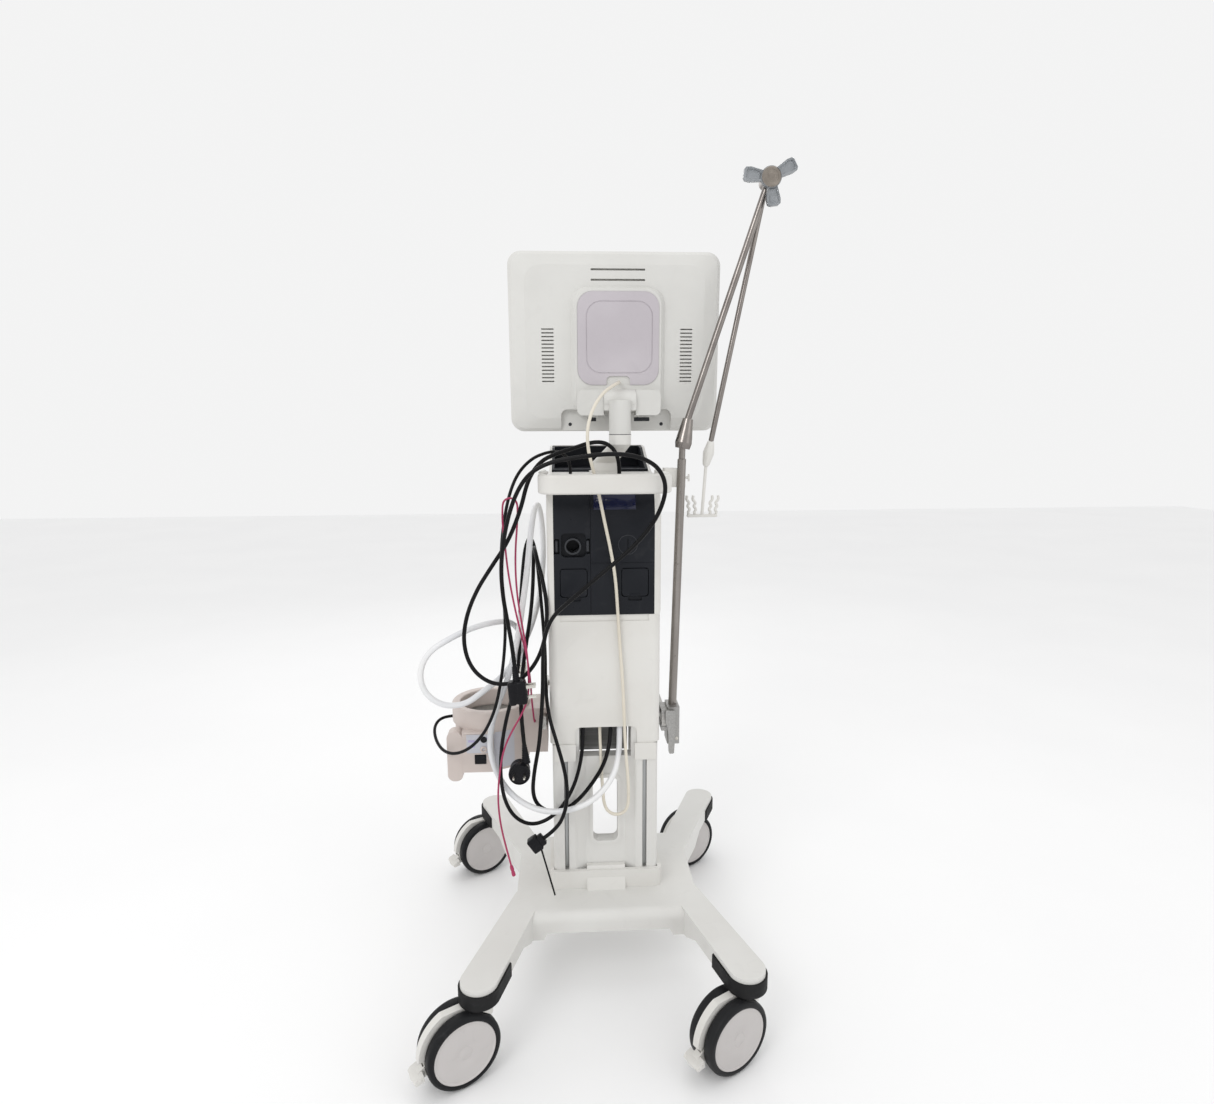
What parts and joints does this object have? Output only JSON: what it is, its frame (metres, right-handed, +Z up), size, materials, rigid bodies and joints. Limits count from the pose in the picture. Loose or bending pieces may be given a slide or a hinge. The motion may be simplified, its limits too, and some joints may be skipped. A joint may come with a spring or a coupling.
{
  "type": "mechanical ventilator",
  "caption": "Intensive-care ventilator tower on a four-caster column stand, with tilting display, push handle, humidifier and jointed tube support arm.",
  "frame": {"origin": "on the floor, under the centre of the column", "axes": "+Z up, +X to the right as seen from the handle side, +Y from the handle side towards the side the screen faces"},
  "size_m": [0.6994, 0.7029, 1.503],
  "materials": {
    "white_paint": "fine matt powder coat",
    "white_plastic": "satin moulded",
    "bumper_rubber": "matt",
    "charcoal_plastic": "fine texture",
    "sheet_steel": "plated",
    "battery_case": "plain",
    "block_aluminium": "bead blasted",
    "board_plastic": "solder mask",
    "rail_steel": "ground",
    "beige_plastic": "aged",
    "plate_aluminium": "turned",
    "screen_glass": "gloss, dark",
    "membrane_plastic": "frosted",
    "knob_plastic": "smoky translucent",
    "tyre": "matt",
    "cable_black": "satin pvc",
    "cable_beige": "satin pvc",
    "hose_white": "smooth",
    "hose_pink": "satin"
  },
  "bodies": {
    "stand": {"base_casting": "white_paint", "leg_bumpers": "bumper_rubber", "column": "white_paint", "column_collars": "white_plastic", "lower_front_cover": "white_plastic", "lower_rear_cover": "white_plastic", "chassis_plate": "sheet_steel", "left_side_shell": "white_plastic", "right_side_shell": "white_plastic", "rear_panel": "charcoal_plastic", "cassette_module": "charcoal_plastic", "right_module": "charcoal_plastic", "gas_port": "charcoal_plastic", "battery_packs": "battery_case", "valve_block": "block_aluminium", "control_board": "board_plastic", "top_cover": "white_plastic", "rear_tray": "charcoal_plastic", "handle": "white_plastic", "side_rails": "rail_steel", "rail_clamp": "block_aluminium", "pole_bracket": "white_plastic", "humidifier_housing": "beige_plastic", "heater_plate": "plate_aluminium", "display_cable": "cable_beige", "mains_cord_a": "cable_black", "mains_cord_b": "cable_black", "humidifier_cord": "cable_black", "data_cord": "cable_black", "gas_hose": "hose_white", "pink_line": "hose_pink", "cord_ends": "cable_black"},
    "front_left_fork": {"front_left_fork": "white_plastic"},
    "front_left_wheels": {"front_left_wheels": "tyre"},
    "front_left_pedal": {"front_left_pedal": "white_plastic"},
    "front_right_fork": {"front_right_fork": "white_plastic"},
    "front_right_wheels": {"front_right_wheels": "tyre"},
    "front_right_pedal": {"front_right_pedal": "white_plastic"},
    "rear_left_fork": {"rear_left_fork": "white_plastic"},
    "rear_left_wheels": {"rear_left_wheels": "tyre"},
    "rear_left_pedal": {"rear_left_pedal": "white_plastic"},
    "rear_right_fork": {"rear_right_fork": "white_plastic"},
    "rear_right_wheels": {"rear_right_wheels": "tyre"},
    "rear_right_pedal": {"rear_right_pedal": "white_plastic"},
    "left_door": {"left_door": "charcoal_plastic"},
    "right_door": {"right_door": "charcoal_plastic"},
    "coin_lock": {"coin_lock": "charcoal_plastic"},
    "display_arm": {"display_arm": "white_plastic"},
    "display_head": {"display_head": "white_plastic"},
    "display": {"display_rear_shell": "white_plastic", "display_bezel": "charcoal_plastic", "display_glass": "screen_glass", "membrane_cover": "membrane_plastic"},
    "pole": {"pole": "rail_steel"},
    "lower_arm": {"lower_arm": "rail_steel"},
    "elbow_knob": {"elbow_knob": "knob_plastic"},
    "upper_arm": {"upper_arm": "rail_steel"},
    "tube_holder": {"tube_holder": "white_plastic"},
    "clamp_lever": {"clamp_lever": "block_aluminium"},
    "humidifier_switch": {"humidifier_switch": "charcoal_plastic"}
  },
  "joints": [
    {"name": "front_left_swivel", "type": "hinge", "parent": "stand", "child": "front_left_fork", "pos_m": [-0.22, -0.297, 0.11], "axis": [0, 0, 1], "continuous": true},
    {"name": "front_left_roll", "type": "hinge", "parent": "front_left_fork", "child": "front_left_wheels", "pos_m": [-0.25291, -0.316, 0.0625], "axis": [0.5, -0.866, 0], "continuous": true},
    {"name": "front_left_brake", "type": "hinge", "parent": "front_left_fork", "child": "front_left_pedal", "pos_m": [-0.29621, -0.341, 0.0525], "axis": [0.5, -0.866, 0], "range_deg": [0, 9]},
    {"name": "front_right_swivel", "type": "hinge", "parent": "stand", "child": "front_right_fork", "pos_m": [0.22, -0.297, 0.11], "axis": [0, 0, 1], "continuous": true},
    {"name": "front_right_roll", "type": "hinge", "parent": "front_right_fork", "child": "front_right_wheels", "pos_m": [0.18709, -0.316, 0.0625], "axis": [0.5, -0.866, 0], "continuous": true},
    {"name": "front_right_brake", "type": "hinge", "parent": "front_right_fork", "child": "front_right_pedal", "pos_m": [0.14379, -0.341, 0.0525], "axis": [0.5, -0.866, 0], "range_deg": [0, 9]},
    {"name": "rear_left_swivel", "type": "hinge", "parent": "stand", "child": "rear_left_fork", "pos_m": [-0.245, 0.297, 0.11], "axis": [0, 0, 1], "continuous": true},
    {"name": "rear_left_roll", "type": "hinge", "parent": "rear_left_fork", "child": "rear_left_wheels", "pos_m": [-0.27791, 0.278, 0.0625], "axis": [0.5, -0.866, 0], "continuous": true},
    {"name": "rear_left_brake", "type": "hinge", "parent": "rear_left_fork", "child": "rear_left_pedal", "pos_m": [-0.32121, 0.253, 0.0525], "axis": [0.5, -0.866, 0], "range_deg": [0, 9]},
    {"name": "rear_right_swivel", "type": "hinge", "parent": "stand", "child": "rear_right_fork", "pos_m": [0.245, 0.297, 0.11], "axis": [0, 0, 1], "continuous": true},
    {"name": "rear_right_roll", "type": "hinge", "parent": "rear_right_fork", "child": "rear_right_wheels", "pos_m": [0.21209, 0.278, 0.0625], "axis": [0.5, -0.866, 0], "continuous": true},
    {"name": "rear_right_brake", "type": "hinge", "parent": "rear_right_fork", "child": "rear_right_pedal", "pos_m": [0.16879, 0.253, 0.0525], "axis": [0.5, -0.866, 0], "range_deg": [0, 9]},
    {"name": "left_door_hinge", "type": "hinge", "parent": "stand", "child": "left_door", "pos_m": [-0.056, -0.054, 0.787], "axis": [-1, 0, 0], "range_deg": [0, 100]},
    {"name": "right_door_hinge", "type": "hinge", "parent": "stand", "child": "right_door", "pos_m": [0.056, -0.054, 0.787], "axis": [-1, 0, 0], "range_deg": [0, 100]},
    {"name": "coin_lock_turn", "type": "hinge", "parent": "stand", "child": "coin_lock", "pos_m": [0.043, -0.056, 0.833], "axis": [0, -1, 0], "range_deg": [0, 90]},
    {"name": "display_arm_swivel", "type": "hinge", "parent": "stand", "child": "display_arm", "pos_m": [0.0075, 0.06, 0.965], "axis": [0, 0, 1], "range_deg": [-5, 15], "deforming": ["display_cable"]},
    {"name": "display_swivel", "type": "hinge", "parent": "display_arm", "child": "display_head", "pos_m": [0.033, 0, 1.03], "axis": [0, 0, 1], "range_deg": [-5, 40], "deforming": ["display_cable"]},
    {"name": "display_tilt", "type": "hinge", "parent": "display_head", "child": "display", "pos_m": [0.0335, 0.018, 1.092], "axis": [1, 0, 0], "range_deg": [-11, 5], "deforming": ["display_cable"]},
    {"name": "pole_turn", "type": "hinge", "parent": "stand", "child": "pole", "pos_m": [0.133, 0, 0.436], "axis": [0.0282, 0, 0.9996], "range_deg": [-100, 15]},
    {"name": "arm_tilt", "type": "hinge", "parent": "pole", "child": "lower_arm", "pos_m": [0.14928, 0, 1.013], "axis": [0, 1, 0], "range_deg": [-12, 20]},
    {"name": "elbow_fold", "type": "hinge", "parent": "lower_arm", "child": "upper_arm", "pos_m": [0.298, 0, 1.474], "axis": [0, -1, 0], "range_deg": [-3, 140]},
    {"name": "elbow_knob_turn", "type": "hinge", "parent": "lower_arm", "child": "elbow_knob", "pos_m": [0.298, 0, 1.474], "axis": [0, -1, 0], "continuous": true},
    {"name": "tube_holder_swing", "type": "hinge", "parent": "upper_arm", "child": "tube_holder", "pos_m": [0.206, 0.017, 1.017], "axis": [-0.1974, 0, -0.9803], "range_deg": [-60, 60]},
    {"name": "clamp_lever_turn", "type": "hinge", "parent": "stand", "child": "clamp_lever", "pos_m": [0.129, -0.024, 0.497], "axis": [0, -1, 0], "range_deg": [0, 80]},
    {"name": "humidifier_switch_rock", "type": "hinge", "parent": "stand", "child": "humidifier_switch", "pos_m": [-0.237, -0.037, 0.421], "axis": [1, 0, 0], "range_deg": [-7, 7]}
  ]
}
